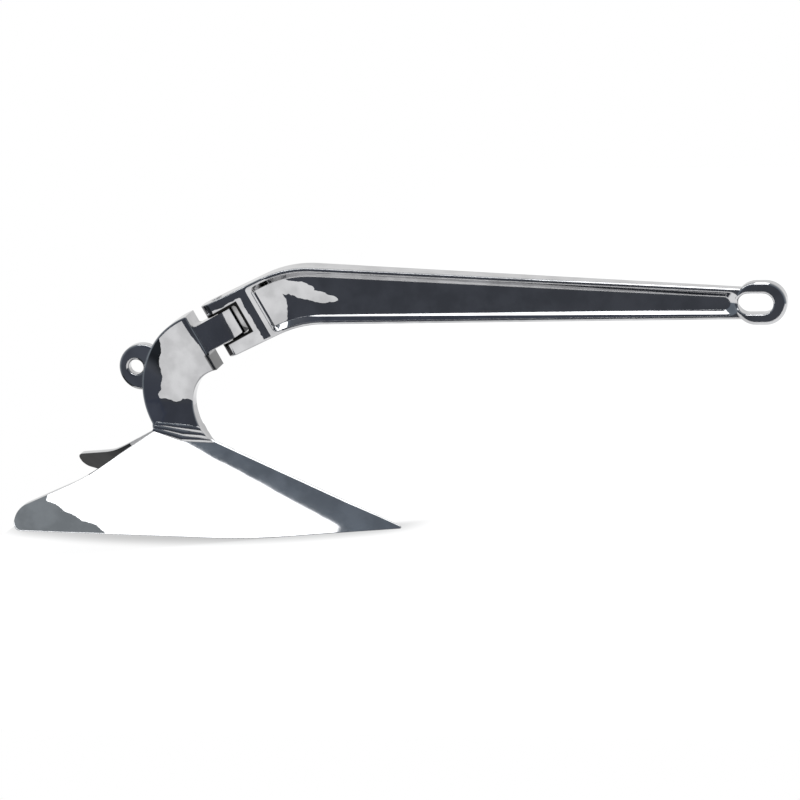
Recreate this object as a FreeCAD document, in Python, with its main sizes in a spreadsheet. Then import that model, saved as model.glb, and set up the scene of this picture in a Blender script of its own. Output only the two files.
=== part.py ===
import FreeCAD, Part
import math
import os
import Sketcher

# Plough anchor with a swinging shank, in millimetres.
# +X points along the shank to its eye, +Z is up, and the XZ plane halves the anchor.
# The anchor stands on the lower edges of its share. The origin lies on that ground, below the middle.

doc = FreeCAD.newDocument("PloughAnchor")

# Driving dimensions

DRIVING = [
    # share: where its point is, and the slope of its ridge
    ("tip_x", 20, "distance of the share's point behind the origin"),
    ("tip_blunt", 5, "height of the blunt point"),
    ("ridge_slope", 25.15, "degrees that the ridge climbs from the point to the tail"),
    ("ridge_round", 3, "outer rounding of the ridge"),
    ("ridge_lead", 38, "how far before the point the blanks along the ridge begin"),
    # share: its section, square to the ridge
    ("flank_angle", 53.6, "degrees that the upper flank drops from the ridge"),
    ("wing_angle", 33.1, "degrees that the outer wing drops"),
    ("flank_reach", 54.5, "half width where the flank turns into the wing"),
    ("wing_reach", 182, "half width of the blank that the share is cut from"),
    ("wing_bend", 240, "hollow bend between flank and wing"),
    ("plate", 7.5, "thickness of the share"),
    # share: its outline from the side
    ("share_length", 433, "from the point to the tail"),
    ("ground_run", 172, "from the point to where the lower edge leaves the ground"),
    ("keel_bend", 700, "gentle curve between those two stretches"),
    ("tail_lift", 8.4, "degrees that the lower edge climbs behind that"),
    ("tail_depth", 20.4, "from the lower edge's line up to the tail's upper corner"),
    ("tail_rise", 16.7, "degrees that the wing's rear edge climbs from the tail"),
    ("tail_round", 11.8, "rounding of the tail's corners"),
    ("rear_slope", 30.7, "degrees that the flank's rear edge climbs to the ridge"),
    ("rear_bend", 120, "hollow curve between those two stretches"),
    ("rear_share", 0.6836, "from the point to the end of the ridge, as a share of the length"),
    ("rear_drop", 22.8, "depth of the rear edge's end below the ridge line"),
    # hinge
    ("pin_x", 217, "distance of the hinge pin's middle behind the origin"),
    ("pin_z", 252, "height of the hinge pin's middle"),
    ("pin_lean", 28, "degrees that the pin leans back"),
    ("pin_d", 16, "diameter of the hinge pin"),
    ("pin_running", 0.05, "clearance round the pin in the tongue, each side"),
    ("pin_sunk", 0.6, "depth of the pin's ends below the fork's faces"),
    ("pin_end_round", 1.2, "chamfer of the pin's ends"),
    # tongue and horn
    ("tongue_half", 17.2, "half height of the tongue along the pin"),
    ("tongue_width", 33, "width of the tongue"),
    ("tongue_nose", 14.4, "from the pin's axis to the flat nose"),
    ("nose_round", 3.6, "rounding of the nose's corners"),
    ("shoulder", 38.8, "from the pin's axis back to the horn's shoulder"),
    ("shoulder_up", 34, "shoulder's height above the pin's middle, along the pin"),
    ("shoulder_down", 40, "shoulder's depth below the pin's middle, along the pin"),
    ("horn_lean", 53, "degrees of the line from the hinge along which the horn narrows and widens again"),
    ("head_width", 43, "width of the horn's head, at the shoulder"),
    ("head_spare", 1, "how much wider than that the horn starts, each side, before its sides are cut"),
    ("waist_width", 21.6, "width of the horn's waist"),
    ("waist_out", 107, "from the pin's middle to the waist, along the horn's lean"),
    ("neck_bend", 120, "the two curves that lead from the head to the waist"),
    ("flare_bend", 600, "hollow curve from the waist to the foot"),
    ("flare_run", 68, "how far that curve goes beyond the waist"),
    ("horn_back_bend", 96, "round back of the horn"),
    ("heel_x", 317.5, "distance of the horn's heel behind the origin"),
    ("heel_z", 131, "height of the end of the horn's back curve, where the heel begins"),
    ("heel_drop", 30, "how far the heel goes straight down from there, into the share's flanks"),
    ("throat_x", 266, "distance of the throat's deepest point behind the origin"),
    ("throat_z", 157, "height of the throat's deepest point"),
    ("throat_upper_bend", 43, "hollow curve above that point"),
    ("throat_lower_bend", 72, "hollow curve below it"),
    ("throat_foot_z", 102, "height at which the throat's curve ends"),
    ("leg_x", 247, "distance of the horn's front foot behind the origin"),
    ("leg_z", 72, "height of the horn's front foot, inside the share"),
    ("bow_back_x", 297, "distance of the back of the horn's narrowing foot behind the origin"),
    ("bow_back_half", 13.7, "half width of the narrowing foot there"),
    ("bow_front_x", 242, "distance of the foot's narrow front behind the origin"),
    ("bow_front_half", 1.1, "half width of the foot there"),
    ("bow_z", 105, "height at which the foot has those widths"),
    ("bow_lean", 13, "degrees that the narrowing faces lean out on their way up"),
    ("bow_drop", 60, "how far the narrowing's cut reaches below that height"),
    ("bow_climb", 110, "how far it reaches above"),
    ("horn_edge", 2.4, "rounding of the horn's long edges"),
    ("root_fillet", 5, "fillet between the tongue and the shoulder"),
    ("weld_back", 319, "from the point along the ridge to the back of the weld round the horn's foot"),
    ("weld_back_top", 12.4, "half width of the weld's top there"),
    ("weld_back_toe", 14.5, "half width of its toe there"),
    ("weld_back_high", -8, "height of its top above the ridge line there"),
    ("weld_middle", 282, "from the point along the ridge to the place where the foot starts to narrow"),
    ("weld_middle_top", 11.4, "half width of the weld's top there"),
    ("weld_middle_toe", 12.5, "half width of its toe there"),
    ("weld_middle_high", 5, "height of its top above the ridge line there"),
    ("weld_fore", 264, "from the point along the ridge to the weld's highest place"),
    ("weld_fore_top", 11, "half width of the weld's top there"),
    ("weld_fore_toe", 8.1, "half width of its toe there"),
    ("weld_fore_high", 8.9, "height of its top above the ridge line there"),
    ("weld_front", 246, "from the point along the ridge to the front of the weld"),
    ("weld_front_top", 8.5, "half width of the weld's top there"),
    ("weld_front_toe", 3.4, "half width of its toe there"),
    ("weld_front_high", 8, "height of its top above the ridge line there"),
    ("weld_sink", 0.4, "how deep the weld's toe starts under the flank before the horn is cut to it"),
    ("weld_passes", 3, "beads laid side by side"),
    ("bead_round", 1, "radius of a bead, as a share of its width"),
    # trip line eye
    ("lug_out", 10.2, "from the horn's heel back to the lug's middle"),
    ("lug_z", 199.5, "height of the lug's middle"),
    ("lug_r", 28, "outer radius of the lug"),
    ("lug_width", 16, "thickness of the lug"),
    ("lug_hole_r", 8.8, "radius of the hole in the lug"),
    ("lug_hole_back", 7.4, "from the lug's middle back to its hole"),
    ("lug_lip", 3.2, "rounding of the hole's lips"),
    ("lug_edge", 3, "rounding of the lug's rim"),
    # fork
    ("fork_half", 35, "half height of the fork along the pin"),
    ("fork_gap", 0.8, "clearance between the tongue and each arm"),
    ("fork_crotch", 21.6, "from the pin's axis to the flat crotch of the fork"),
    ("crotch_round", 4, "rounding of the crotch's corners"),
    ("arm_end", 21, "radius of the arms' ends round the pin"),
    ("fork_edge", 2.5, "rounding of the shank's long edges"),
    # shank
    ("fork_rise", 25, "degrees that the fork's edges climb"),
    ("arm_top_x", 250.7, "distance of the upper arm's corner behind the origin"),
    ("arm_top_z", 273.6, "height of the upper arm's corner"),
    ("arm_foot_x", 220.5, "distance of the lower arm's corner behind the origin"),
    ("arm_foot_z", 210, "height of the lower arm's corner"),
    ("knee_bend", 132, "radius of the knee's edges"),
    ("upper_knee_x", 144, "distance of the upper knee behind the origin"),
    ("lower_knee_x", 129.1, "distance of the lower knee behind the origin"),
    ("neck_x", 402, "from the origin to the end of the beam, inside the eye"),
    ("neck_top_z", 292, "height of the beam's upper edge at its end"),
    ("neck_foot_z", 255.8, "height of the beam's lower edge at its end"),
    ("fork_width", 40, "width of the shank at the fork's ends"),
    ("neck_width", 18.5, "width of the beam at its eye"),
    # hollow sides of the shank
    ("recess_start", 47, "from the pin's axis to the start of the hollow"),
    ("recess_corner", 7, "rounding of the hollow's corners at that start, at its rim"),
    ("recess_floor_corner", 3, "rounding of the same corners at the hollow's floor"),
    ("recess_rim", 4.5, "flat rim beside the hollow"),
    ("recess_wall", 6.5, "width of the hollow's sloped wall"),
    ("recess_depth", 6.5, "depth of the hollow"),
    ("recess_over", 1, "how far the hollow's cut starts outside the shank"),
    ("recess_end_x", 384.5, "from the origin to the hollow's round end"),
    # shackle eye
    ("eye_x", 422, "from the origin to the eye's middle"),
    ("eye_z", 274.4, "height of the eye's middle"),
    ("eye_length", 62, "length of the eye"),
    ("eye_height", 51, "height of the eye"),
    ("eye_width", 21, "thickness of the eye"),
    ("eye_edge", 4, "rounding of the eye's rim"),
    ("slot_x", 416, "from the origin to the slot's middle"),
    ("slot_length", 42, "length of the slot"),
    ("slot_height", 24.5, "height of the slot"),
    ("slot_lip", 2.5, "rounding of the slot's lips"),
]

sizes = doc.addObject("Spreadsheet::Sheet", "Sizes")
for row, (alias, value, note) in enumerate(DRIVING, start=1):
    sizes.set(f"A{row}", note)
    sizes.set(f"B{row}", str(value))
    sizes.setAlias(f"B{row}", alias)
doc.recompute()


layout = doc.addObject("Spreadsheet::Sheet", "Layout")


def work_out(alias, formula):
    """A named value that follows from the driving dimensions, kept on a sheet of its own."""
    row = len(layout.getUsedCells()) + 1
    layout.set(f"A{row}", "=" + formula)
    layout.setAlias(f"A{row}", alias)
    doc.recompute()
    return f"Layout.{alias}"


def val(expression):
    """The number that an expression of the sheet gives."""
    return float(sizes.evalExpression(expression))


# Helpers for bodies, sketches and features

FAR = 900.0
PIN_U = "cos(Sizes.pin_lean)"
PIN_W = "sin(Sizes.pin_lean)"


def new_body(label):
    body = doc.addObject("PartDesign::Body", label)
    body.Label = label
    return body


def sketch_on(body, role, name, base=None, axis=None, angle=None):
    """A sketch on one of the body's own origin planes, moved and turned by expressions."""
    sketch = body.newObject("Sketcher::SketchObject", name)
    plane = [f for f in body.Origin.OriginFeatures if f.Role == role][0]
    sketch.AttachmentSupport = [(plane, "")]
    sketch.MapMode = "FlatFace"
    if axis is not None:
        turn = FreeCAD.Rotation(axis, val(angle))
        sketch.AttachmentOffset = FreeCAD.Placement(FreeCAD.Vector(), turn)
        sketch.setExpression("AttachmentOffset.Rotation.Angle", angle)
    if base is not None:
        for letter, expression in zip("xyz", base):
            sketch.setExpression(f"AttachmentOffset.Base.{letter}", expression)
    return sketch


def pin_sketch(body, name):
    """A sketch in the side plane whose x runs along the fork and whose y runs up the pin."""
    return sketch_on(body, "XZ_Plane", name, ("-Sizes.pin_x", "Sizes.pin_z", "0"),
                     FreeCAD.Vector(0, 0, 1), "Sizes.pin_lean")


def swing_sketch(body, name):
    """A sketch square to the pin: x runs along the fork and y across it."""
    return sketch_on(body, "XY_Plane", name, ("-Sizes.pin_x", "0", "Sizes.pin_z"),
                     FreeCAD.Vector(0, 1, 0), "-Sizes.pin_lean")


def ridge_sketch(body, name, back="-Sizes.ridge_lead"):
    """A sketch square to the ridge, this far back from the point along it.

    Its x runs across and its y up from the ridge line.
    """
    return sketch_on(body, "YZ_Plane", name,
                     ("0", f"Sizes.tip_blunt + ({back}) * sin(Sizes.ridge_slope)",
                      f"-Sizes.tip_x - ({back}) * cos(Sizes.ridge_slope)"),
                     FreeCAD.Vector(1, 0, 0), "Sizes.ridge_slope")


def fix_point(sketch, curve, end, x, y):
    """Ties one end of a curve to the sheet by its two coordinates."""
    for kind, expression in (("DistanceX", x), ("DistanceY", y)):
        number = sketch.addConstraint(Sketcher.Constraint(kind, -1, 1, curve, end, val(expression)))
        sketch.setExpression(f"Constraints[{number}]", expression)


def outline(sketch, corners):
    """A closed outline. A corner is (x, y), or (x, y, radius, bulge) where an arc leads to the next one.

    The arc's middle lies left of the way to the next corner where bulge is 1, and right where it is -1.
    """
    points = [FreeCAD.Vector(val(c[0]), val(c[1]), 0) for c in corners]
    first = sketch.GeometryCount
    ends = []
    for number, corner in enumerate(corners):
        start = points[number]
        stop = points[(number + 1) % len(points)]
        if len(corner) == 2:
            sketch.addGeometry(Part.LineSegment(start, stop))
            ends.append((1, 2))
            continue
        radius = val(corner[2])
        chord = stop - start
        side = FreeCAD.Vector(-chord.y, chord.x, 0).normalize() * corner[3]
        rise = radius - math.sqrt(radius ** 2 - (chord.Length / 2) ** 2)
        sketch.addGeometry(Part.Arc(start, (start + stop) / 2 + side * rise, stop))
        forward = corner[3] < 0
        ends.append((1, 2) if forward else (2, 1))
        curve = sketch.GeometryCount - 1
        tie = sketch.addConstraint(Sketcher.Constraint("Radius", curve, radius))
        sketch.setExpression(f"Constraints[{tie}]", corner[2])
    for number, corner in enumerate(corners):
        curve = first + number
        before = first + (number - 1) % len(corners)
        fix_point(sketch, curve, ends[number][0], corner[0], corner[1])
        sketch.addConstraint(Sketcher.Constraint(
            "Coincident", before, ends[number - 1][1], curve, ends[number][0]))


def circle(sketch, x, y, radius):
    centre = FreeCAD.Vector(val(x), val(y), 0)
    curve = sketch.addGeometry(Part.Circle(centre, FreeCAD.Vector(0, 0, 1), val(radius)))
    fix_point(sketch, curve, 3, x, y)
    tie = sketch.addConstraint(Sketcher.Constraint("Radius", curve, val(radius)))
    sketch.setExpression(f"Constraints[{tie}]", radius)


def frame_round(sketch):
    """A large square round an outline, so that a pocket keeps only what lies inside the outline."""
    corners = [(-FAR, -FAR), (FAR, -FAR), (FAR, FAR), (-FAR, FAR)]
    outline(sketch, [(str(x), str(y)) for x, y in corners])


def both_ways(body, kind, name, sketch, length):
    """A pad or pocket to both sides of its sketch, of the given whole length."""
    feature = body.newObject(kind, name)
    feature.Profile = sketch
    feature.SideType = "Symmetric"
    feature.Type = "Length"
    feature.Length = val(length)
    feature.setExpression("Length", length)
    sketch.Visibility = False
    doc.recompute()
    return feature


def pad(body, name, sketch, length):
    return both_ways(body, "PartDesign::Pad", name, sketch, length)


def cut(body, name, sketch, length=str(2 * FAR)):
    before = body.Shape.Volume
    feature = both_ways(body, "PartDesign::Pocket", name, sketch, length)
    if not body.Shape.Volume < before:
        raise RuntimeError(f"{name} cuts nothing")
    return feature


def edges_where(feature, test):
    """Names of the feature's edges that pass a test on their middle point and direction."""
    names = []
    for number, edge in enumerate(feature.Shape.Edges, start=1):
        middle = edge.valueAt((edge.FirstParameter + edge.LastParameter) / 2)
        along = edge.tangentAt((edge.FirstParameter + edge.LastParameter) / 2)
        if test(edge, middle, along):
            names.append(f"Edge{number}")
    return names


def dress(body, kind, name, feature, names, size_property, expression):
    if not names:
        raise RuntimeError(f"{name} found no edge")
    soft = body.newObject(kind, name)
    soft.Base = (feature, names)
    setattr(soft, size_property, val(expression))
    soft.setExpression(size_property, expression)
    doc.recompute()
    if soft.State and ("Invalid" in soft.State or "Error" in soft.State):
        raise RuntimeError(f"{name} failed")
    return soft


def fillet(body, name, feature, names, radius):
    return dress(body, "PartDesign::Fillet", name, feature, names, "Radius", radius)


def parallel(along, direction, slack=0.01):
    return abs(abs(along.normalize().dot(direction)) - 1) < slack


# Section of the share, square to the ridge and measured from the ridge line

FLANK_DROP = "Sizes.flank_reach * tan(Sizes.flank_angle)"
WING_DROP = f"({FLANK_DROP} + (Sizes.wing_reach - Sizes.flank_reach) * tan(Sizes.wing_angle))"
MITRE = "(Sizes.plate / (1 + cos(Sizes.flank_angle - Sizes.wing_angle)))"
RIDGE_DIRECTION = FreeCAD.Vector(-math.cos(math.radians(val("Sizes.ridge_slope"))), 0,
                                 math.sin(math.radians(val("Sizes.ridge_slope"))))

RIDGE_UP = FreeCAD.Vector(RIDGE_DIRECTION.z, 0, -RIDGE_DIRECTION.x)


def share_section():
    """Right half of the section's corners, from the ridge out to the wing's end and back inside."""
    outer = [("0", "0"),
             ("Sizes.flank_reach", f"-{FLANK_DROP}"),
             ("Sizes.wing_reach", f"-{WING_DROP}")]
    inner = [("Sizes.wing_reach - Sizes.plate * sin(Sizes.wing_angle)",
              f"-{WING_DROP} - Sizes.plate * cos(Sizes.wing_angle)"),
             (f"Sizes.flank_reach - {MITRE} * (sin(Sizes.flank_angle) + sin(Sizes.wing_angle))",
              f"-{FLANK_DROP} - {MITRE} * (cos(Sizes.flank_angle) + cos(Sizes.wing_angle))"),
             ("0", "-Sizes.plate / cos(Sizes.flank_angle)")]
    return outer, inner


def along_ridge(body, kind, name, sketch):
    """A pad or pocket that follows the ridge line from the sketch to beyond the tail."""
    feature = body.newObject(kind, name)
    feature.Profile = sketch
    feature.Type = "Length"
    feature.Length = FAR
    feature.Reversed = kind == "PartDesign::Pad"
    doc.recompute()
    return feature


def ridge_edges(feature, reach, top_only=False):
    """Long edges along the ridge whose distance from the side plane is the given expression."""
    away = val(reach)
    found = []
    for name in edges_where(feature, lambda edge, middle, along:
                            parallel(along, RIDGE_DIRECTION) and abs(abs(middle.y) - away) < 0.5):
        height = feature.Shape.getElement(name).CenterOfMass.dot(RIDGE_UP)
        found.append((height, name))
    found.sort()
    return [found[-1][1]] if top_only else [name for height, name in found]


def pin_x_of(along, up):
    """World x of a point given along the fork and up the pin from the pin's middle."""
    return f"-Sizes.pin_x + ({along}) * {PIN_U} - ({up}) * {PIN_W}"


def pin_z_of(along, up):
    return f"Sizes.pin_z + ({along}) * {PIN_W} + ({up}) * {PIN_U}"


def pin_frame():
    """The pin's middle and the directions along the fork and up the pin, from the sheet."""
    lean = math.radians(val("Sizes.pin_lean"))
    return {"middle": FreeCAD.Vector(-val("Sizes.pin_x"), 0, val("Sizes.pin_z")),
            "along": FreeCAD.Vector(math.cos(lean), 0, math.sin(lean)),
            "up": FreeCAD.Vector(-math.sin(lean), 0, math.cos(lean))}


def near_u(point, expression, slack=0.2):
    """Whether a point lies at the given distance from the pin's axis, along the fork."""
    pin = pin_frame()
    return abs((point - pin["middle"]).dot(pin["along"]) - val(expression)) < slack


def round_ended(sketch, x, z, length, height):
    """A shape with two straight sides and two half round ends."""
    straight = f"({length} - {height}) / 2"
    radius = f"{height} / 2"
    outline(sketch, [
        (f"{x} - {straight}", f"{z} - {height} / 2"),
        (f"{x} + {straight}", f"{z} - {height} / 2", radius + " + 0.0001", -1),
        (f"{x} + {straight}", f"{z} + {height} / 2"),
        (f"{x} - {straight}", f"{z} + {height} / 2", radius + " + 0.0001", -1),
    ])


def mirror_point(point):
    return (f"-({point[0]})", point[1])


def mirror_across(point):
    return (point[0], f"-({point[1]})")


def make_share():
    body = new_body("share")
    outer, inner = share_section()
    section = ridge_sketch(body, "share_section")
    half = outer + inner
    mirrored = [mirror_point(p) for p in reversed(half[1:-1])]
    outline(section, half + mirrored)
    along_ridge(body, "PartDesign::Pad", "share_plate", section)

    side = sketch_on(body, "XZ_Plane", "share_side")
    frame_round(side)
    tail_x = "(-Sizes.tip_x - Sizes.share_length)"
    tail_foot = "((Sizes.share_length - Sizes.ground_run) * tan(Sizes.tail_lift))"
    tail_top = f"({tail_foot} + Sizes.tail_depth)"
    foot_run = "(Sizes.tail_round * tan((90 - Sizes.tail_lift) / 2))"
    keel_run = "(Sizes.keel_bend * tan(Sizes.tail_lift / 2))"
    top_run = "(Sizes.tail_round * tan((90 - Sizes.tail_rise) / 2))"
    rear_z = "(Sizes.tip_blunt + (Sizes.rear_share * Sizes.share_length) * tan(Sizes.ridge_slope) - Sizes.rear_drop)"
    rear_run = "(Sizes.rear_bend * tan((Sizes.rear_slope - Sizes.tail_rise) / 2))"
    # where the wing's rear edge and the flank's would meet
    meet_x = (f"(({rear_z} + (Sizes.tip_x + (Sizes.rear_share * Sizes.share_length)) * tan(Sizes.rear_slope)"
              f" - {tail_top} + {tail_x} * tan(Sizes.tail_rise))"
              " / (tan(Sizes.tail_rise) - tan(Sizes.rear_slope)))")
    meet_z = f"({tail_top} + ({meet_x} - {tail_x}) * tan(Sizes.tail_rise))"
    outline(side, [
        ("-Sizes.tip_x", "0"),
        (f"-Sizes.tip_x - Sizes.ground_run + {keel_run}", "0", "Sizes.keel_bend", 1),
        (f"-Sizes.tip_x - Sizes.ground_run - {keel_run} * cos(Sizes.tail_lift)",
         f"{keel_run} * sin(Sizes.tail_lift)"),
        (f"{tail_x} + {foot_run} * cos(Sizes.tail_lift)",
         f"{tail_foot} - {foot_run} * sin(Sizes.tail_lift)", "Sizes.tail_round", 1),
        (tail_x, f"{tail_foot} + {foot_run}"),
        (tail_x, f"{tail_top} - {top_run}", "Sizes.tail_round", 1),
        (f"{tail_x} + {top_run} * cos(Sizes.tail_rise)",
         f"{tail_top} + {top_run} * sin(Sizes.tail_rise)"),
        (f"{meet_x} - {rear_run} * cos(Sizes.tail_rise)",
         f"{meet_z} - {rear_run} * sin(Sizes.tail_rise)", "Sizes.rear_bend", -1),
        (f"{meet_x} + {rear_run} * cos(Sizes.rear_slope)",
         f"{meet_z} + {rear_run} * sin(Sizes.rear_slope)"),
        ("-Sizes.tip_x - (Sizes.rear_share * Sizes.share_length)", rear_z),
        ("-Sizes.tip_x - (Sizes.rear_share * Sizes.share_length)", f"{rear_z} + 2 * Sizes.ridge_round + Sizes.rear_drop"),
        ("-Sizes.tip_x", "2 * Sizes.ridge_round + Sizes.tip_blunt"),
    ])
    trimmed = cut(body, "share_trim", side)

    rounded = fillet(body, "share_ridge", trimmed, ridge_edges(trimmed, "0", True), "Sizes.ridge_round")
    hollow = fillet(body, "share_bend_outside", rounded,
                    ridge_edges(rounded, "Sizes.flank_reach"), "Sizes.wing_bend")
    inside = f"Sizes.flank_reach - {MITRE} * (sin(Sizes.flank_angle) + sin(Sizes.wing_angle))"
    fillet(body, "share_bend_inside", hollow, ridge_edges(hollow, inside), "Sizes.wing_bend + Sizes.plate")
    return body


def weld_section(body, station):
    """The weld between the horn's side and the flank at one station: rounded beads from its toe to its top."""
    top = (f"Sizes.{station}_top", f"Sizes.{station}_high")
    toe = (f"Sizes.{station}_toe", f"(-Sizes.{station}_toe * tan(Sizes.flank_angle) - Sizes.weld_sink)")
    across = f"({top[0]} - {toe[0]})"
    up = f"({top[1]} - {toe[1]})"
    bead = f"(sqrt({across} ^ 2 + {up} ^ 2) / Sizes.weld_passes)"
    beads = []
    for number in range(round(val("Sizes.weld_passes"))):
        part = f"({number} / Sizes.weld_passes)"
        beads.append((f"{toe[0]} + {across} * {part}", f"{toe[1]} + {up} * {part}",
                      f"Sizes.bead_round * {bead}", -1))
    inside = f"{toe[0]} / 2"
    deep = f"{toe[1]} - Sizes.plate"
    section = ridge_sketch(body, station, f"Sizes.{station}")
    outline(section, [(inside, deep), (toe[0], deep)] + beads + [top, (inside, top[1])])
    return section


def narrow_foot(body):
    """Cuts the horn's foot narrow towards its front, by a slanting face on each side that fades upward."""
    reach = "(Sizes.bow_back_x - Sizes.bow_front_x)"
    step = "(Sizes.bow_back_half - Sizes.bow_front_half)"
    outside = "2 * Sizes.head_width"
    sections = []
    for name, rise in (("bow_foot", "(-Sizes.bow_drop)"), ("bow_top", "Sizes.bow_climb")):
        out = f"{rise} * tan(Sizes.bow_lean)"
        section = sketch_on(body, "XY_Plane", name, ("0", "0", f"Sizes.bow_z + {rise}"))
        outline(section, [
            (f"-Sizes.bow_back_x - {reach}", f"Sizes.bow_back_half + {step} + {out}"),
            (f"-Sizes.bow_front_x + {reach}", f"Sizes.bow_front_half - {step} + {out}"),
            (f"-Sizes.bow_front_x + {reach}", outside),
            (f"-Sizes.bow_back_x - {reach}", outside),
        ])
        sections.append(section)
    side = body.newObject("PartDesign::SubtractiveLoft", "narrow_side")
    side.Profile = sections[0]
    side.Sections = [sections[1]]
    side.Ruled = True
    doc.recompute()
    both = body.newObject("PartDesign::Mirrored", "narrow_sides")
    both.Originals = [side]
    both.MirrorPlane = ([f for f in body.Origin.OriginFeatures if f.Role == "XZ_Plane"][0], [""])
    body.Tip = both
    doc.recompute()


def rim_of(feature, radius):
    """Both edges of a round pad or hole of this radius in the lug."""
    return edges_where(feature, lambda edge, middle, along:
                       edge.Curve.TypeId == "Part::GeomCircle"
                       and abs(edge.Curve.Radius - val(radius)) < 0.01
                       and abs(abs(middle.y) - val("Sizes.lug_width / 2")) < 0.01)


def trip_line_lug(body):
    """The lug's disc with its hole, which the horn then takes in."""
    centre_x = "-Sizes.heel_x - Sizes.lug_out"
    disc = sketch_on(body, "XZ_Plane", "lug_disc")
    circle(disc, centre_x, "Sizes.lug_z", "Sizes.lug_r")
    lug = pad(body, "lug", disc, "Sizes.lug_width")
    fillet(body, "lug_rim", lug, rim_of(lug, "Sizes.lug_r"), "Sizes.lug_edge")
    hole = sketch_on(body, "XZ_Plane", "lug_hole_side")
    circle(hole, f"{centre_x} - Sizes.lug_hole_back", "Sizes.lug_z", "Sizes.lug_hole_r")
    drilled = cut(body, "lug_hole", hole)
    fillet(body, "lug_lips", drilled, rim_of(drilled, "Sizes.lug_hole_r"), "Sizes.lug_lip")


def horn_waist(body):
    """Cuts the horn's sides to a head, a narrower waist and a foot that widens again."""
    head_y = "(Sizes.head_width / 2)"
    waist_y = "(Sizes.waist_width / 2)"
    turn = f"({head_y} - {waist_y}) / 2"
    run = f"sqrt(Sizes.neck_bend ^ 2 - (Sizes.neck_bend - {turn}) ^ 2)"
    flare = "(Sizes.flare_bend - sqrt(Sizes.flare_bend ^ 2 - Sizes.flare_run ^ 2))"
    upper = [("Sizes.shoulder", head_y),
             (f"-Sizes.waist_out + 2 * {run}", head_y, "Sizes.neck_bend", -1),
             (f"-Sizes.waist_out + {run}", f"({head_y} + {waist_y}) / 2", "Sizes.neck_bend", 1),
             ("-Sizes.waist_out", waist_y, "Sizes.flare_bend", 1),
             ("-Sizes.waist_out - Sizes.flare_run", f"{waist_y} + {flare}")]
    # the other side runs back, so each arc belongs to the corner where it starts
    lower = [mirror_across(upper[4]) + upper[3][2:], mirror_across(upper[3]) + upper[2][2:],
             mirror_across(upper[2]) + upper[1][2:], mirror_across(upper[1]), mirror_across(upper[0])]
    plan = sketch_on(body, "XY_Plane", "horn_plan", ("-Sizes.pin_x", "0", "Sizes.pin_z"),
                     FreeCAD.Vector(0, 1, 0), "-Sizes.horn_lean")
    frame_round(plan)
    outline(plan, upper + lower)
    return cut(body, "horn_sides", plan)


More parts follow.
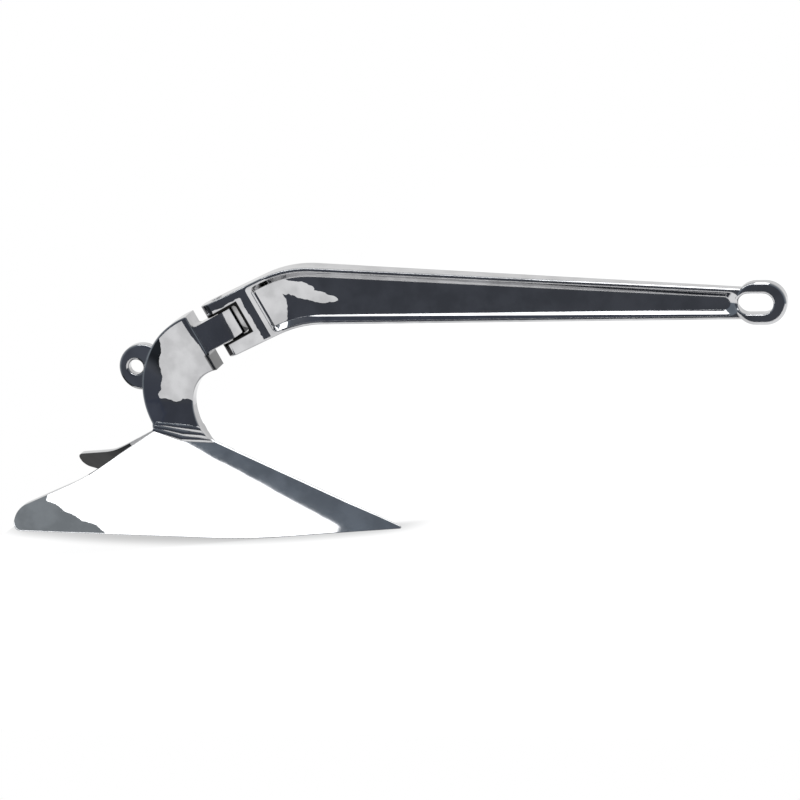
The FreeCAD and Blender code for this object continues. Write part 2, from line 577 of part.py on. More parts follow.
def make_horn():
    body = new_body("horn")
    trip_line_lug(body)
    throat_foot = ("-Sizes.throat_x + Sizes.throat_lower_bend - sqrt(Sizes.throat_lower_bend ^ 2"
                   " - (Sizes.throat_z - Sizes.throat_foot_z) ^ 2)", "Sizes.throat_foot_z")
    side = sketch_on(body, "XZ_Plane", "horn_side")
    outline(side, [
        (pin_x_of("-Sizes.shoulder", "-Sizes.shoulder_down"),
         pin_z_of("-Sizes.shoulder", "-Sizes.shoulder_down")),
        (pin_x_of("-Sizes.shoulder", "Sizes.shoulder_up"),
         pin_z_of("-Sizes.shoulder", "Sizes.shoulder_up"), "Sizes.horn_back_bend", -1),
        ("-Sizes.heel_x", "Sizes.heel_z"),
        ("-Sizes.heel_x", "Sizes.heel_z - Sizes.heel_drop"),
        ("-Sizes.leg_x", "Sizes.leg_z"),
        throat_foot + ("Sizes.throat_lower_bend", 1),
        ("-Sizes.throat_x", "Sizes.throat_z", "Sizes.throat_upper_bend", 1),
    ])
    pad(body, "horn_neck", side, "(Sizes.head_width + 2 * Sizes.head_spare)")
    waisted = horn_waist(body)
    lean = math.radians(val("Sizes.horn_lean"))
    seam = FreeCAD.Vector(math.sin(lean), 0, -math.cos(lean))
    rims = edges_where(waisted, lambda edge, middle, along:
                       abs(middle.y) > val("(Sizes.lug_width + Sizes.horn_edge) / 2")
                       and abs(along.y) < 0.9 and not parallel(along, seam))
    fillet(body, "horn_edges", waisted, rims, "Sizes.horn_edge")
    narrow_foot(body)

    tongue = pin_sketch(body, "tongue_side")
    outline(tongue, [
        ("-Sizes.shoulder - Sizes.root_fillet", "-Sizes.tongue_half"),
        ("Sizes.tongue_nose", "-Sizes.tongue_half"),
        ("Sizes.tongue_nose", "Sizes.tongue_half"),
        ("-Sizes.shoulder - Sizes.root_fillet", "Sizes.tongue_half"),
    ])
    pad(body, "tongue", tongue, "Sizes.tongue_width")

    stations = [weld_section(body, name) for name in ("weld_back", "weld_middle", "weld_fore", "weld_front")]
    band = body.newObject("PartDesign::AdditiveLoft", "weld_band")
    band.Profile = stations[0]
    band.Sections = stations[1:]
    band.Ruled = True
    doc.recompute()
    both = body.newObject("PartDesign::Mirrored", "both_welds")
    both.Originals = [band]
    both.MirrorPlane = ([f for f in body.Origin.OriginFeatures if f.Role == "XZ_Plane"][0], [""])
    body.Tip = both
    doc.recompute()

    front = sketch_on(body, "XZ_Plane", "weld_trim_side")
    outline(front, [
        throat_foot,
        (throat_foot[0] + " + Sizes.throat_lower_bend", throat_foot[1]),
        (throat_foot[0] + " + Sizes.throat_lower_bend", "Sizes.throat_z"),
        ("-Sizes.throat_x", "Sizes.throat_z", "Sizes.throat_lower_bend", -1),
    ])
    cut(body, "weld_trim", front)

    saddle = ridge_sketch(body, "horn_saddle")
    outer = share_section()[0]
    deep = f"-{WING_DROP} * 2"
    half = [outer[0], outer[1], ("Sizes.flank_reach", deep)]
    outline(saddle, half + [mirror_point(p) for p in reversed(half[1:])])
    seated = along_ridge(body, "PartDesign::Pocket", "horn_foot_cut", saddle)
    crest = edges_where(seated, lambda edge, middle, along:
                        parallel(along, RIDGE_DIRECTION) and abs(middle.y) < 0.01)
    fillet(body, "saddle_crest", seated, crest, "Sizes.ridge_round")

    pin = pin_frame()
    noses = edges_where(body.Tip, lambda edge, middle, along:
                        parallel(along, pin["up"]) and near_u(middle, "Sizes.tongue_nose"))
    fillet(body, "nose_corners", body.Tip, noses, "Sizes.nose_round")
    roots = edges_where(body.Tip, lambda edge, middle, along:
                        parallel(along, FreeCAD.Vector(0, 1, 0)) and near_u(middle, "-Sizes.shoulder")
                        and abs((middle - pin["middle"]).dot(pin["up"])) < val("Sizes.tongue_half + 1"))
    fillet(body, "tongue_root", body.Tip, roots, "Sizes.root_fillet")

    bore = swing_sketch(body, "tongue_bore_plan")
    circle(bore, "0", "0", "Sizes.pin_d / 2 + Sizes.pin_running")
    cut(body, "tongue_bore", bore)
    return body


# The shank's edges from the side: the knees' corners before rounding, and the beam's slopes

UPPER_KNEE_Z = work_out("upper_knee_z", "Sizes.arm_top_z"
                        " + (Sizes.arm_top_x - Sizes.upper_knee_x) * tan(Sizes.fork_rise)")
LOWER_KNEE_Z = work_out("lower_knee_z", "Sizes.arm_foot_z"
                        " + (Sizes.arm_foot_x - Sizes.lower_knee_x) * tan(Sizes.fork_rise)")
UPPER_SLOPE = work_out("upper_slope", "atan((Sizes.neck_top_z - Layout.upper_knee_z)"
                       " / (Sizes.neck_x + Sizes.upper_knee_x)) / 1 deg")
LOWER_SLOPE = work_out("lower_slope", "atan((Sizes.neck_foot_z - Layout.lower_knee_z)"
                       " / (Sizes.neck_x + Sizes.lower_knee_x)) / 1 deg")
SIDE_TAPER = work_out("side_taper", "atan((Sizes.fork_width - Sizes.neck_width) / 2"
                      " / (Sizes.neck_x + Sizes.arm_top_x)) / 1 deg")
MIDDLE_HALF = work_out("middle_half", "Sizes.fork_width / 2 - Sizes.arm_top_x * tan(Layout.side_taper)")


def inset_corner(x, z, slope_a, slope_b, inset, inward):
    """The corner of two lines, moved inside by an inset. Inward is -1 below the lines and 1 above."""
    share_of = f"({inset}) * ({inward}) / (1 + cos({slope_a} - {slope_b}))"
    return (f"({x} - {share_of} * (sin({slope_a}) + sin({slope_b})))",
            f"({z} + {share_of} * (cos({slope_a}) + cos({slope_b})))")


def start_corner(knee):
    """Where the hollow's straight start meets the line that climbs through a knee's corner."""
    start_x = "(-Sizes.pin_x + Sizes.recess_start * cos(Sizes.pin_lean))"
    start_z = "(Sizes.pin_z + Sizes.recess_start * sin(Sizes.pin_lean))"
    up = (f"((({start_x} - {knee[0]}) * sin(Sizes.fork_rise)"
          f" - ({start_z} - {knee[1]}) * cos(Sizes.fork_rise)) / cos(Sizes.pin_lean - Sizes.fork_rise))")
    return f"{start_x} - {up} * sin(Sizes.pin_lean)", f"{start_z} + {up} * cos(Sizes.pin_lean)"


def recess_outline(sketch, name, inset, shift, corner_round):
    """The hollow's outline, this far inside the beam's edges, with its round end moved by shift."""
    keep = {}
    for side, x, z, slope, inward in (("upper", "-Sizes.upper_knee_x", UPPER_KNEE_Z, UPPER_SLOPE, -1),
                                      ("lower", "-Sizes.lower_knee_x", LOWER_KNEE_Z, LOWER_SLOPE, 1)):
        corner = inset_corner(x, z, "Sizes.fork_rise", slope, inset, inward)
        knee = (work_out(f"{name}_{side}_x", corner[0]), work_out(f"{name}_{side}_z", corner[1]))
        bend = f"(Sizes.knee_bend + ({inward}) * ({inset}))"
        run = work_out(f"{name}_{side}_run", f"{bend} * tan((Sizes.fork_rise - {slope}) / 2)")
        end_x = f"(Sizes.recess_end_x - ({shift}))"
        start = start_corner(knee)
        turn = f"({corner_round} * tan((90 - ({inward}) * (Sizes.pin_lean - Sizes.fork_rise)) / 2))"
        keep[side] = {
            "along": (f"{start[0]} + {turn} * cos(Sizes.fork_rise)",
                      f"{start[1]} + {turn} * sin(Sizes.fork_rise)"),
            "across": (f"{start[0]} - ({inward}) * {turn} * sin(Sizes.pin_lean)",
                       f"{start[1]} + ({inward}) * {turn} * cos(Sizes.pin_lean)"),
            "in": (f"{knee[0]} - {run} * cos(Sizes.fork_rise)", f"{knee[1]} - {run} * sin(Sizes.fork_rise)"),
            "out": (f"{knee[0]} + {run} * cos({slope})", f"{knee[1]} + {run} * sin({slope})"),
            "end": (end_x, f"{knee[1]} + ({end_x} - {knee[0]}) * tan({slope})"),
            "bend": bend,
        }
    up, low = keep["upper"], keep["lower"]
    rise = f"({up['end'][1]} - ({low['end'][1]}))"
    outline(sketch, [
        low["along"],
        low["in"] + (low["bend"], 1),
        low["out"],
        low["end"] + (f"{rise} / 2 + 0.0001", -1),
        up["end"],
        up["out"] + (up["bend"], -1),
        up["in"],
        up["along"] + (corner_round, -1),
        up["across"],
        low["across"] + (corner_round, -1),
    ])


def make_eye():
    """The shackle eye before its slot is cut, as a body of its own that the shank takes in."""
    body = new_body("eye_blank")
    side = sketch_on(body, "XZ_Plane", "eye_side")
    round_ended(side, "Sizes.eye_x", "Sizes.eye_z", "Sizes.eye_length", "Sizes.eye_height")
    ring = pad(body, "eye", side, "Sizes.eye_width")
    rims = edges_where(ring, lambda edge, middle, along:
                       abs(abs(middle.y) - val("Sizes.eye_width / 2")) < 0.01)
    fillet(body, "eye_rims", ring, rims, "Sizes.eye_edge")
    return body


def make_shank():
    body = new_body("shank")
    side = sketch_on(body, "XZ_Plane", "shank_side")
    outline(side, [
        ("-Sizes.arm_top_x", "Sizes.arm_top_z"),
        ("-Sizes.arm_foot_x", "Sizes.arm_foot_z"),
        ("-Sizes.lower_knee_x", LOWER_KNEE_Z),
        ("Sizes.neck_x", "Sizes.neck_foot_z"),
        ("Sizes.neck_x", "Sizes.neck_top_z"),
        ("-Sizes.upper_knee_x", UPPER_KNEE_Z),
    ])
    beam = pad(body, "beam", side, "Sizes.fork_width")
    across = FreeCAD.Vector(0, 1, 0)
    knees = edges_where(beam, lambda edge, middle, along:
                        parallel(along, across) and abs(middle.x + 0.5 * val(
                            "Sizes.upper_knee_x + Sizes.lower_knee_x")) < 30)
    fillet(body, "knee", beam, knees, "Sizes.knee_bend")

    plan = sketch_on(body, "XY_Plane", "shank_plan")
    frame_round(plan)
    fork_y = "(Sizes.fork_width / 2)"
    neck_y = "(Sizes.neck_width / 2)"
    outline(plan, [
        ("-Sizes.arm_top_x", f"-{fork_y}"), ("Sizes.neck_x", f"-{neck_y}"),
        ("Sizes.neck_x + Sizes.eye_length * 2", f"-{neck_y}"),
        ("Sizes.neck_x + Sizes.eye_length * 2", neck_y),
        ("Sizes.neck_x", neck_y), ("-Sizes.arm_top_x", fork_y),
    ])
    cut(body, "shank_taper", plan)

    ends = swing_sketch(body, "arm_ends_plan")
    far_end = "(Sizes.neck_x + Sizes.pin_x) * 2"
    frame_round(ends)
    outline(ends, [
        ("0", "-Sizes.arm_end"), (far_end, "-Sizes.arm_end"), (far_end, "Sizes.arm_end"),
        ("0", "Sizes.arm_end", "Sizes.arm_end + 0.0001", -1),
    ])
    cut(body, "arm_ends", ends)

    taper = math.tan(math.radians(val(SIDE_TAPER)))
    half = val(MIDDLE_HALF)
    long_edges = edges_where(body.Tip, lambda edge, middle, along:
                             abs(abs(middle.y) - half + middle.x * taper) < 0.01
                             and not parallel(along, pin_frame()["up"]) and middle.x < val("Sizes.neck_x") - 1)
    tips = edges_where(body.Tip, lambda edge, middle, along:
                       parallel(along, across) and near_u(middle, "-Sizes.arm_end", 1))
    fillet(body, "beam_edges", body.Tip, long_edges + tips, "Sizes.fork_edge")

    steps = []
    for name, depth, corner_round in (("recess_rim", "-Sizes.recess_over", "Sizes.recess_corner"),
                                      ("recess_floor", "Sizes.recess_depth", "Sizes.recess_floor_corner")):
        step = sketch_on(body, "XZ_Plane", name, ("0", "0", f"{MIDDLE_HALF} - ({depth}) / cos({SIDE_TAPER})"),
                         FreeCAD.Vector(0, 1, 0), SIDE_TAPER)
        spread = f"({depth}) * Sizes.recess_wall / Sizes.recess_depth"
        recess_outline(step, name, f"Sizes.recess_rim + {spread}", spread, corner_round)
        steps.append(step)
    recess = body.newObject("PartDesign::SubtractiveLoft", "recess")
    recess.Profile = steps[0]
    recess.Sections = [steps[1]]
    recess.Ruled = True
    doc.recompute()
    both = body.newObject("PartDesign::Mirrored", "both_recesses")
    both.Originals = [recess]
    plane = [f for f in body.Origin.OriginFeatures if f.Role == "XZ_Plane"][0]
    both.MirrorPlane = (plane, [""])
    body.Tip = both
    doc.recompute()

    join = body.newObject("PartDesign::Boolean", "beam_and_eye")
    join.Type = "Fuse"
    join.setObjects([make_eye()])
    body.Tip = join
    doc.recompute()
    window = pin_sketch(body, "fork_window_side")
    gap_half = "(Sizes.tongue_half + Sizes.fork_gap)"
    outline(window, [
        ("-Sizes.arm_end * 2", f"-{gap_half}"), ("Sizes.fork_crotch", f"-{gap_half}"),
        ("Sizes.fork_crotch", gap_half), ("-Sizes.arm_end * 2", gap_half),
    ])
    cut(body, "fork_window", window)

    crotches = edges_where(body.Tip, lambda edge, middle, along:
                           parallel(along, across) and near_u(middle, "Sizes.fork_crotch"))
    fillet(body, "crotch_corners", body.Tip, crotches, "Sizes.crotch_round")

    bore = swing_sketch(body, "fork_bore_plan")
    circle(bore, "0", "0", "Sizes.pin_d / 2")
    cut(body, "fork_bore", bore)

    slot = sketch_on(body, "XZ_Plane", "slot_side")
    round_ended(slot, "Sizes.slot_x", "Sizes.eye_z", "Sizes.slot_length", "Sizes.slot_height")
    through = cut(body, "slot", slot)
    lips = edges_where(through, lambda edge, middle, along:
                       abs(abs(middle.y) - val("Sizes.eye_width / 2")) < 0.01
                       and abs(middle.x - val("Sizes.slot_x")) < val("Sizes.slot_length / 2 + 0.1")
                       and abs(middle.z - val("Sizes.eye_z")) < val("Sizes.slot_height / 2 + 0.1"))
    fillet(body, "slot_lips", through, lips, "Sizes.slot_lip")
    return body


def make_pin():
    body = new_body("hinge_pin")
    plan = swing_sketch(body, "pin_plan")
    circle(plan, "0", "0", "Sizes.pin_d / 2")
    rod = pad(body, "pin_rod", plan, "2 * (Sizes.fork_half - Sizes.pin_sunk)")
    ends = edges_where(rod, lambda edge, middle, along: edge.Curve.TypeId == "Part::GeomCircle")
    dress(body, "PartDesign::Chamfer", "pin_ends", rod, ends, "Size", "Sizes.pin_end_round")
    return body


pieces = [make_share(), make_horn(), make_shank(), make_pin()]
doc.recompute()

for thing in doc.Objects:
    if "Invalid" in thing.State or "Error" in thing.State:
        raise RuntimeError(f"{thing.Label} did not compute")
for piece in pieces:
    if piece.Shape.isNull() or not piece.Shape.isValid() or len(piece.Shape.Solids) != 1:
        raise RuntimeError(f"{piece.Label} is not one valid solid")

os.makedirs("parts", exist_ok=True)
for piece in pieces:
    piece.Shape.exportStep(f"parts/{piece.Label}.step")
    print(piece.Label, round(piece.Shape.Volume / 1000, 1), piece.Shape.optimalBoundingBox())
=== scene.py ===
import math

import bpy
from mathutils import Matrix, Vector

# Plough anchor of polished stainless steel, on a white table in a photographer's light tent.
# Everything is in metres in the part's own frame: +X along the shank, +Z up, the ground at z = 0.

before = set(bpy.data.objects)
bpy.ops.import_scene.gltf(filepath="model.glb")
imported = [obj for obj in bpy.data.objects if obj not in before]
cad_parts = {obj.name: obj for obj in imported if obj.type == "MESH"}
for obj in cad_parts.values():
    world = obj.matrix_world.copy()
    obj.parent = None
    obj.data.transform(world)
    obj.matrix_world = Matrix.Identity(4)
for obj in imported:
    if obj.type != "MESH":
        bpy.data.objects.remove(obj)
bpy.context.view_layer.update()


scene = bpy.context.scene
scene.view_settings.view_transform = "Standard"


# Camera: it stands in front and a little to the right of the anchor, and looks slightly down

TURN = math.radians(11.5)
LOOK_DOWN = math.radians(12.3)
ROLL = math.radians(2.48)
EYE = Vector((1.13588, -5.65401, 1.41538))
FOCAL_PX = 4950
PICTURE_PX = 800
SENSOR_MM = 36
FARTHEST_SEEN = 50


def add_camera():
    back = Vector((math.sin(TURN) * math.cos(LOOK_DOWN), -math.cos(TURN) * math.cos(LOOK_DOWN),
                   math.sin(LOOK_DOWN)))
    level = Vector((math.cos(TURN), math.sin(TURN), 0))
    right = level * math.cos(ROLL) - back.cross(level) * math.sin(ROLL)
    up = back.cross(right)
    camera = bpy.data.objects.new("camera", bpy.data.cameras.new("camera"))
    scene.collection.objects.link(camera)
    camera.matrix_world = Matrix.Translation(EYE) @ Matrix((right, up, back)).transposed().to_4x4()
    camera.data.sensor_width = SENSOR_MM
    camera.data.lens = FOCAL_PX * SENSOR_MM / PICTURE_PX
    camera.data.clip_end = FARTHEST_SEEN
    scene.camera = camera


add_camera()


# Shader nodes

class Net:
    """The nodes of one material, or of the room, with a short call for each kind."""

    def __init__(self, tree):
        self.nodes = tree.nodes
        self.links = tree.links

    def feed(self, socket, value):
        """Gives an input a plain value or the output of another node."""
        if isinstance(value, bpy.types.NodeSocket):
            self.links.new(value, socket)
        else:
            socket.default_value = value

    def number(self, operation, *values):
        """A sum, difference or other function of numbers."""
        node = self.nodes.new("ShaderNodeMath")
        node.operation = operation
        for socket, value in zip(node.inputs, values):
            self.feed(socket, value)
        return node.outputs["Value"]

    def times(self, first, *others):
        """The product of numbers."""
        for other in others:
            first = self.number("MULTIPLY", first, other)
        return first

    def vector(self, operation, *values):
        """The node for a function of vectors."""
        node = self.nodes.new("ShaderNodeVectorMath")
        node.operation = operation
        for socket, value in zip(node.inputs, values):
            self.feed(socket, value)
        return node

    def along(self, vector, way):
        """How much of a vector lies along a way."""
        return self.vector("DOT_PRODUCT", vector, way).outputs["Value"]

    def split(self, vector):
        """The X, Y and Z of a vector."""
        node = self.nodes.new("ShaderNodeSeparateXYZ")
        self.links.new(vector, node.inputs["Vector"])
        return node.outputs

    def step(self, value, start, end):
        """A smooth step of a value from 0 at start to 1 at end."""
        node = self.nodes.new("ShaderNodeMapRange")
        node.interpolation_type = "SMOOTHSTEP"
        node.inputs["From Min"].default_value = start
        node.inputs["From Max"].default_value = end
        self.links.new(value, node.inputs["Value"])
        return node.outputs["Result"]

    def between(self, value, low, high, soft):
        """1 between two values, with soft ends."""
        above = self.step(value, low - soft, low + soft)
        below = self.step(value, high + soft, high - soft)
        return self.times(above, below)

    def noise(self, place, size, detail):
        """Cloudy noise with clouds of a size."""
        node = self.nodes.new("ShaderNodeTexNoise")
        node.inputs["Scale"].default_value = 1 / size
        node.inputs["Detail"].default_value = detail
        self.links.new(place, node.inputs["Vector"])
        return node.outputs

    def coordinate(self, kind):
        """Where a surface is or how it faces, in the piece's own frame, or a direction of the room."""
        return self.nodes.new("ShaderNodeTexCoord").outputs[kind]

    def openness(self, reach, samples):
        """1 in the open, and less where something is within reach."""
        node = self.nodes.new("ShaderNodeAmbientOcclusion")
        node.samples = samples
        node.inputs["Distance"].default_value = reach
        return node.outputs["AO"]

    def seen(self):
        """1 where the camera looks straight at the surface, 0 in reflections and light."""
        return self.nodes.new("ShaderNodeLightPath").outputs["Is Camera Ray"]


def new_material(name):
    """A fresh material with its nodes and its Principled shader."""
    material = bpy.data.materials.new(name)
    material.use_nodes = True
    return material, Net(material.node_tree), material.node_tree.nodes["Principled BSDF"]


# Steel: a mirror polish done by hand, so the reflections waver

STEEL = (0.60, 0.60, 0.61)
# painted shade in gaps and corners: its colour, how near other faces darken it, the span of openness it
# fades over, and its samples
GAP_SHADE = (0.01, 0.01, 0.01)
GAP_SHADE_REACH = 0.012
GAP_SHADE_SPAN = (0.15, 0.40)
GAP_SHADE_SAMPLES = 8
CLOUD_SIZE = 0.03
CLOUD_DETAIL = 3.0
CLOUD_SPAN = (0.35, 0.65)
CLOUD_LEAST = 0.80
WAVE_DETAIL = 1.0
EDGE_SAMPLES = 6
RAGGED_DETAIL = 2.0
# half the width of the soft end of a ground place or of a place painted dark as shade
SOFT = 0.001


def steel_with_painted_shade(net, shader, place, painted_shade):
    """Slightly cloudy steel, painted black as shade in gaps and corners, by how closed in they are."""
    unshaded = net.step(net.openness(GAP_SHADE_REACH, GAP_SHADE_SAMPLES), *GAP_SHADE_SPAN)
    if painted_shade:
        unshaded = net.times(unshaded, net.number("SUBTRACT", 1, painted_shade))
    cloud = net.step(net.noise(place, CLOUD_SIZE, CLOUD_DETAIL)["Fac"], *CLOUD_SPAN)
    cloud = net.number("MULTIPLY_ADD", cloud, 1 - CLOUD_LEAST, CLOUD_LEAST)
    tone = net.nodes.new("ShaderNodeMix")
    tone.data_type = "RGBA"
    tone.inputs[6].default_value = (*GAP_SHADE, 1)
    tone.inputs[7].default_value = (*STEEL, 1)
    net.links.new(net.times(unshaded, cloud), tone.inputs[0])
    net.links.new(tone.outputs[2], shader.inputs["Base Color"])


def turned(net, normal, how_much, way):
    """The normal, turned towards a way that is fixed to the piece."""
    fixed = net.nodes.new("ShaderNodeVectorTransform")
    fixed.vector_type = "VECTOR"
    fixed.convert_from = "OBJECT"
    fixed.convert_to = "WORLD"
    fixed.inputs["Vector"].default_value = way
    more = net.vector("SCALE", fixed.outputs["Vector"])
    net.links.new(how_much, more.inputs["Scale"])
    both = net.vector("ADD", normal, more.outputs["Vector"])
    return net.vector("NORMALIZE", both.outputs["Vector"]).outputs["Vector"]


def ragged(net, place, size, depth):
    """The place, shaken a little, so that what is worked out from it has a ragged edge."""
    shake = net.noise(place, size, RAGGED_DETAIL)["Color"]
    return net.vector("MULTIPLY_ADD", shake, (depth, depth, depth), place).outputs["Vector"]


def polished_steel(name, roughness, edge, waves, form=None, painted_shade=None):
    """Mirror-like steel with eased arrises. Each wave of the polisher's hand is a size and a depth.

    The form turns the normal where the polish has changed a face, and the last argument gives places
    painted dark as shade, 1 where they are darkest."""
    material, net, shader = new_material(name)
    shader.inputs["Metallic"].default_value = 1
    shader.inputs["Roughness"].default_value = roughness
    place = net.coordinate("Object")
    steel_with_painted_shade(net, shader, place, painted_shade(net, place) if painted_shade else None)
    height = None
    for size, depth in waves:
        wave = net.times(net.noise(place, size, WAVE_DETAIL)["Fac"], depth)
        height = net.number("ADD", height, wave) if height else wave
    eased = net.nodes.new("ShaderNodeBevel")
    eased.samples = EDGE_SAMPLES
    eased.inputs["Radius"].default_value = edge
    bump = net.nodes.new("ShaderNodeBump")
    bump.inputs["Strength"].default_value = 1
    bump.inputs["Distance"].default_value = 1
    net.links.new(height, bump.inputs["Height"])
    net.links.new(eased.outputs["Normal"], bump.inputs["Normal"])
    normal = bump.outputs["Normal"]
    if form:
        normal = form(net, place, normal)
    net.links.new(normal, shader.inputs["Normal"])
    return material


def dress(node_name, material):
    """Gives a node of the part its finish."""
    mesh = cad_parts[node_name].data
    mesh.materials.clear()
    mesh.materials.append(material)


# Share: its flank is hollowed a little from the ridge to the bend, and the wing's tail is bent back

FLANK_HOLLOW = (0.004, 0.100)
FLANK_HOLLOW_DEPTH = 0.006
TAIL_RAGGED = (0.02, 0.012)
TAIL_BENT_OUT = (0.116, 0.126)
TAIL_BENT_BACK = (-0.325, -0.350)
TAIL_END = (-0.415, -0.430)
TAIL_TURN = (-0.06, 0, 0)


def share_form(net, place, normal):
    away = net.number("ABSOLUTE", net.split(place)["Y"])
    hollow = net.nodes.new("ShaderNodeBump")
    hollow.inputs["Strength"].default_value = 1
    hollow.inputs["Distance"].default_value = FLANK_HOLLOW_DEPTH
    net.links.new(net.step(away, *FLANK_HOLLOW), hollow.inputs["Height"])
    net.links.new(normal, hollow.inputs["Normal"])
    loose = net.split(ragged(net, place, *TAIL_RAGGED))
    out = net.step(net.number("ABSOLUTE", loose["Y"]), *TAIL_BENT_OUT)
    back = net.step(loose["X"], *TAIL_BENT_BACK)
    end = net.step(loose["X"], *TAIL_END)
    bent = net.number("MAXIMUM", net.times(out, back), end)
    return turned(net, hollow.outputs["Normal"], bent, TAIL_TURN)


# The hinge's own directions: along the pin, and from the horn out along the shank

HINGE = Vector((-0.217, 0, 0.252))
HINGE_UP = Vector((-0.46947, 0, 0.88295))
HINGE_OUT = Vector((0.88295, 0, 0.46947))


def from_hinge(net, place, way):
    """How far a place lies from the hinge along a way."""
    return net.number("SUBTRACT", net.along(place, way), way.dot(HINGE))


# Horn: its side leans down above the waist and up below it, and turns away along its back. The nose
# of its tongue is rounded.

HORN_RAGGED = (0.02, 0.018)
WAIST_HEIGHT = (0.171, 0.163)
HORN_TURN_UP = (0, 0, 0.22)
HORN_TURN_DOWN = (0, 0, -0.05)
HORN_BACK = (-0.290, -0.298)
HORN_TURN_BACK = (-0.14, 0, 0)
HEAD_FACE = (-0.042, -0.046)
TONGUE_NOSE = (-0.007, 0.011)
TONGUE_TURN = (0.5, 0, -0.1)
# the shoulder under the fork's lower arm, painted dark as shade: its span out from the hinge, where it
# starts below, and how dark
SHOULDER = (-0.043, -0.028)
SHOULDER_BELOW = (-0.017, -0.019)
SHOULDER_SHADE = 0.8


def horn_form(net, place, normal):
    loose = net.split(ragged(net, place, *HORN_RAGGED))
    below_waist = net.step(loose["Z"], *WAIST_HEIGHT)
    back = net.step(loose["X"], *HORN_BACK)
    out = from_hinge(net, place, HINGE_OUT)
    head = net.number("MAXIMUM", net.number("SUBTRACT", net.step(out, *HEAD_FACE), below_waist), 0)
    normal = turned(net, normal, below_waist, HORN_TURN_UP)
    normal = turned(net, normal, head, HORN_TURN_DOWN)
    normal = turned(net, normal, back, HORN_TURN_BACK)
    return turned(net, normal, net.step(out, *TONGUE_NOSE), TONGUE_TURN)


def horn_shoulder_shade(net, place):
    """Painted shade on the shoulder under the fork's lower arm."""
    shoulder = net.between(from_hinge(net, place, HINGE_OUT), *SHOULDER, SOFT)
    below = net.step(from_hinge(net, place, HINGE_UP), *SHOULDER_BELOW)
    return net.times(shoulder, below, SHOULDER_SHADE)


# Shank: low places on its sides and on the fork's arms, where the wheel pressed harder and the steel
# looks down at the table. Each low place is its middle (x, z), its half length and half height, and
# how many degrees its left end is turned up.

SHANK_RAGGED = (0.012, 0.008)
SHANK_TURN_DOWN = (0, 0, -0.12)
SHANK_LOW_PLACES = (
    ((-0.168, 0.277), (0.028, 0.036), 0),
    ((-0.142, 0.302), (0.036, 0.008), 4),
    ((-0.110, 0.291), (0.032, 0.007), 11),
)
LOW_RIM = (1.15, 0.85)
ANY_DEPTH = 10
RECESS_START = 0.041
FORK_FACE_END = (0.039, 0.034)
FORK_FACE_TOP = (0.027, 0.023)

# the upward slope of the lower flange: its lower half is ground flatter
FACING = (0.4, 0.6)
FLANGE_LOWER_HALF = (0.2625, 0.2617)
FLANGE_SPAN = (-0.143, 0.385)
FLANGE_END_SOFT = 0.004
FLANGE_TURN = (0, 0, -0.45)

# the end wall of the recess, by its distance from the hinge and its depth: it is rolled outwards
WALL_SPAN = (0.035, 0.052)
WALL_DEPTH = (0.0125, 0.0182)
WALL_DEPTH_SOFT = 0.0004
WALL_TURN = (-0.45, 0.85, -0.75)

# the slot between the fork's arms, painted dark as shade: where it ends out from the hinge, and its
# half height
SLOT_END = 0.0245
SLOT_HALF = 0.0205


def low_place(net, place, middle, half, turn):
    """1 in an oval on the side of a piece and 0 outside it."""
    inside = net.nodes.new("ShaderNodeMapping")
    inside.vector_type = "TEXTURE"
    inside.inputs["Location"].default_value = (middle[0], 0, middle[1])
    inside.inputs["Rotation"].default_value = (0, math.radians(turn), 0)
    inside.inputs["Scale"].default_value = (half[0], ANY_DEPTH, half[1])
    net.links.new(place, inside.inputs["Vector"])
    distance = net.vector("LENGTH", inside.outputs["Vector"]).outputs["Value"]
    return net.step(distance, *LOW_RIM)


def low_shank(net, place, out):
    """1 in the low places of the web and on the fork's arms."""
    shaken = ragged(net, place, *SHANK_RAGGED)
    low = 0
    for middle, half, turn in SHANK_LOW_PLACES:
        low = net.number("MAXIMUM", low, low_place(net, shaken, middle, half, turn))
    low = net.times(low, net.step(out, RECESS_START - SOFT, RECESS_START + SOFT))
    arms = net.times(net.step(from_hinge(net, shaken, HINGE_OUT), *FORK_FACE_END),
                     net.step(from_hinge(net, shaken, HINGE_UP), *FORK_FACE_TOP))
    return net.number("MAXIMUM", low, arms)


def shank_form(net, place, normal):
    out = from_hinge(net, place, HINGE_OUT)
    parts = net.split(place)
    facing = net.coordinate("Normal")
    normal = turned(net, normal, low_shank(net, place, out), SHANK_TURN_DOWN)
    slope = net.times(net.step(net.split(facing)["Z"], *FACING),
                      net.step(parts["Z"], *FLANGE_LOWER_HALF),
                      net.between(parts["X"], *FLANGE_SPAN, FLANGE_END_SOFT))
    normal = turned(net, normal, slope, FLANGE_TURN)
    wall = net.times(net.between(out, *WALL_SPAN, SOFT),
                     net.step(net.along(facing, HINGE_OUT), *FACING))
    for side in (-1, 1):
        depth = net.times(parts["Y"], side)
        rolled = net.times(wall, net.between(depth, *WALL_DEPTH, WALL_DEPTH_SOFT))
        normal = turned(net, normal, rolled, (WALL_TURN[0], WALL_TURN[1] * side, WALL_TURN[2]))
    return normal


def fork_slot_shade(net, place):
    """Painted shade in the slot between the fork's arms."""
    up = net.number("ABSOLUTE", from_hinge(net, place, HINGE_UP))
    return net.times(net.step(from_hinge(net, place, HINGE_OUT), SLOT_END + SOFT, SLOT_END),
                     net.step(up, SLOT_HALF + SOFT, SLOT_HALF))


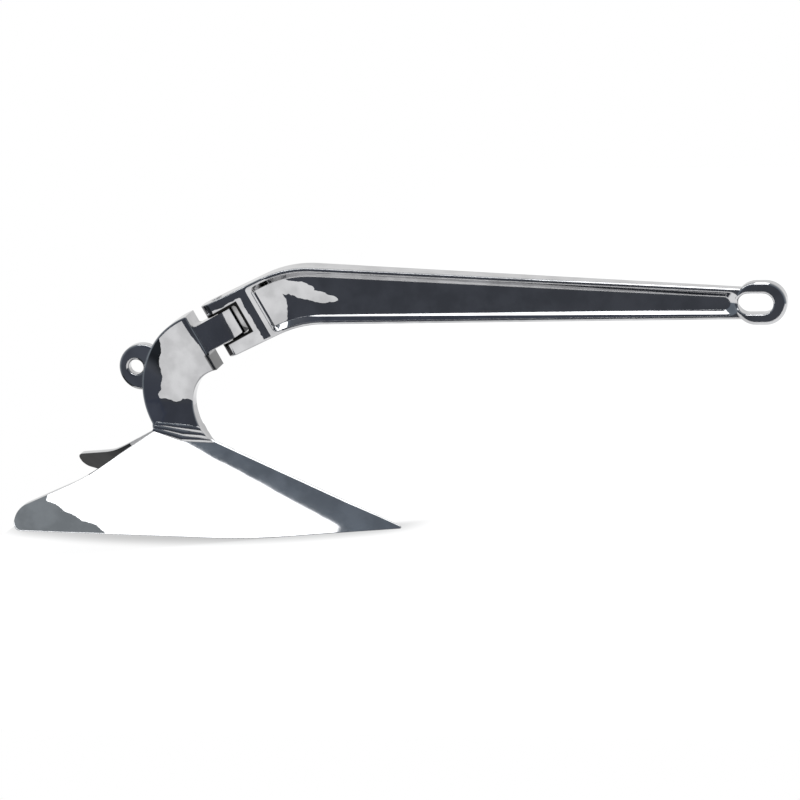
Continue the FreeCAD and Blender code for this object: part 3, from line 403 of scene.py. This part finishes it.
dress("share", polished_steel("share_steel", roughness=0.03, edge=0.0012,
                              waves=((0.03, 0.00003), (0.09, 0.00006)), form=share_form))
dress("horn", polished_steel("horn_steel", roughness=0.05, edge=0.0012,
                             waves=((0.02, 0.00005), (0.04, 0.00008)), form=horn_form, painted_shade=horn_shoulder_shade))
dress("shank", polished_steel("shank_steel", roughness=0.05, edge=0.0018,
                              waves=((0.02, 0.00004), (0.06, 0.0001)), form=shank_form, painted_shade=fork_slot_shade))
dress("hinge_pin", polished_steel("pin_steel", roughness=0.20, edge=0.0003, waves=((0.01, 0.00005),)))


# Stage: a white table that is as white in the steel as it is to the camera. Its left edge is set by
# what the far wing mirrors.

TABLE = ((-0.555, -0.87), (1.8, -0.87), (1.8, 2.5), (-0.41, 2.5), (-0.41, 0.06), (-0.50, 0.0))
TABLE_WHITE = 0.15
TABLE_GLOW = 0.95

# in reflections, the table carries a painted shade under the anchor
UNDER_REACH = 0.25
UNDER_SAMPLES = 16
UNDER_SPAN = (0.35, 0.85)
UNDER_LEAST = 0.05

# the soft shade in front of the share: its foremost point, its bend, its width and its ends
SHADE_FRONT = (-0.280, -0.053)
SHADE_BEND = 0.96
SHADE_WIDTH = (-0.055, 0.0)
SHADE_BEHIND = (0.035, 0.005)
SHADE_LEFT = (-0.53, -0.47)
SHADE_RIGHT = (0.03, -0.05)
SHADE_DEPTH = 0.42


def front_shade(net):
    """1 along the share's lower edge, fading out towards the viewer."""
    parts = net.split(net.coordinate("Object"))
    across = net.number("SUBTRACT", parts["X"], SHADE_FRONT[0])
    edge = net.number("ADD", net.times(across, across, SHADE_BEND), SHADE_FRONT[1])
    behind = net.number("SUBTRACT", parts["Y"], edge)
    return net.times(net.step(behind, *SHADE_WIDTH), net.step(behind, *SHADE_BEHIND),
                     net.step(parts["X"], *SHADE_LEFT), net.step(parts["X"], *SHADE_RIGHT))


def add_table():
    mesh = bpy.data.meshes.new("table")
    mesh.from_pydata([(x, y, 0) for x, y in TABLE], [], [range(len(TABLE))])
    table = bpy.data.objects.new("table", mesh)
    scene.collection.objects.link(table)
    material, net, shader = new_material("table_white")
    shader.inputs["Base Color"].default_value = (TABLE_WHITE, TABLE_WHITE, TABLE_WHITE, 1)
    shader.inputs["Roughness"].default_value = 1
    shader.inputs["Specular IOR Level"].default_value = 0
    shader.inputs["Emission Color"].default_value = (1, 1, 1, 1)
    under = net.step(net.openness(UNDER_REACH, UNDER_SAMPLES), *UNDER_SPAN)
    under = net.number("MAXIMUM", net.number("MAXIMUM", under, UNDER_LEAST), net.seen())
    shade = net.number("SUBTRACT", 1, net.times(front_shade(net), SHADE_DEPTH))
    net.links.new(net.times(under, shade, TABLE_GLOW), shader.inputs["Emission Strength"])
    mesh.materials.append(material)


add_table()


# Light: two white cards overhead, a white back, and a dim room behind the camera

CARD_HEIGHT = 1.8
CARD_RADIANCE = 3.0


def add_card(name, corner, turn, width, depth):
    """A card by its front right corner. The turn is how far its left end is swung back, in degrees."""
    turn = math.radians(turn)
    left = Vector((-math.cos(turn), math.sin(turn), 0))
    back = Vector((math.sin(turn), math.cos(turn), 0))
    light = bpy.data.lights.new(name, "AREA")
    light.shape = "RECTANGLE"
    light.size = width
    light.size_y = depth
    light.energy = CARD_RADIANCE * math.pi * width * depth
    card = bpy.data.objects.new(name, light)
    card.location = Vector((*corner, CARD_HEIGHT)) + left * width / 2 + back * depth / 2
    card.rotation_euler = (0, 0, -turn)
    card.visible_camera = False
    scene.collection.objects.link(card)


# the long card's front edge and corner set where the white on the share's flank ends
add_card("long_card", corner=(0.54, -1.165), turn=4.6, width=0.55, depth=2.2)
add_card("side_card", corner=(0.05, -0.62), turn=0, width=1.6, depth=0.42)


# what the steel sees of the room, from straight in front of the anchor to straight behind it
ROOM = (
    (-1.00, (0.08, 0.085, 0.095)),
    (-0.90, (0.06, 0.07, 0.10)),
    (-0.75, (0.12, 0.13, 0.15)),
    (-0.50, (0.20, 0.235, 0.28)),
    (0.10, (0.33, 0.36, 0.38)),
    (0.50, (0.70, 0.70, 0.70)),
    (0.80, (0.85, 0.85, 0.85)),
)

# below the table's level the room is dim all round
ROOM_FLOOR = (-0.5, -0.3)
ROOM_FLOOR_LIGHT = 0.12


def add_world():
    """White to the camera all round. To everything else: white behind, grey above, and dim in front."""
    world = bpy.data.worlds.new("room")
    scene.world = world
    world.use_nodes = True
    net = Net(world.node_tree)
    net.nodes.clear()
    parts = net.split(net.coordinate("Generated"))
    ramp = net.nodes.new("ShaderNodeValToRGB")
    while len(ramp.color_ramp.elements) < len(ROOM):
        ramp.color_ramp.elements.new(1)
    for element, (way, colour) in zip(ramp.color_ramp.elements, ROOM):
        element.position = (way + 1) / 2
        element.color = (*colour, 1)
    net.links.new(net.number("MULTIPLY_ADD", parts["Y"], 0.5, 0.5), ramp.inputs["Fac"])
    room = net.nodes.new("ShaderNodeBackground")
    net.links.new(ramp.outputs["Color"], room.inputs["Color"])
    above = net.step(parts["Z"], *ROOM_FLOOR)
    light = net.number("MULTIPLY_ADD", above, 1 - ROOM_FLOOR_LIGHT, ROOM_FLOOR_LIGHT)
    net.links.new(light, room.inputs["Strength"])
    white = net.nodes.new("ShaderNodeBackground")
    white.inputs["Color"].default_value = (1, 1, 1, 1)
    mix = net.nodes.new("ShaderNodeMixShader")
    net.links.new(net.seen(), mix.inputs["Fac"])
    net.links.new(room.outputs["Background"], mix.inputs[1])
    net.links.new(white.outputs["Background"], mix.inputs[2])
    net.links.new(mix.outputs["Shader"], net.nodes.new("ShaderNodeOutputWorld").inputs["Surface"])


add_world()
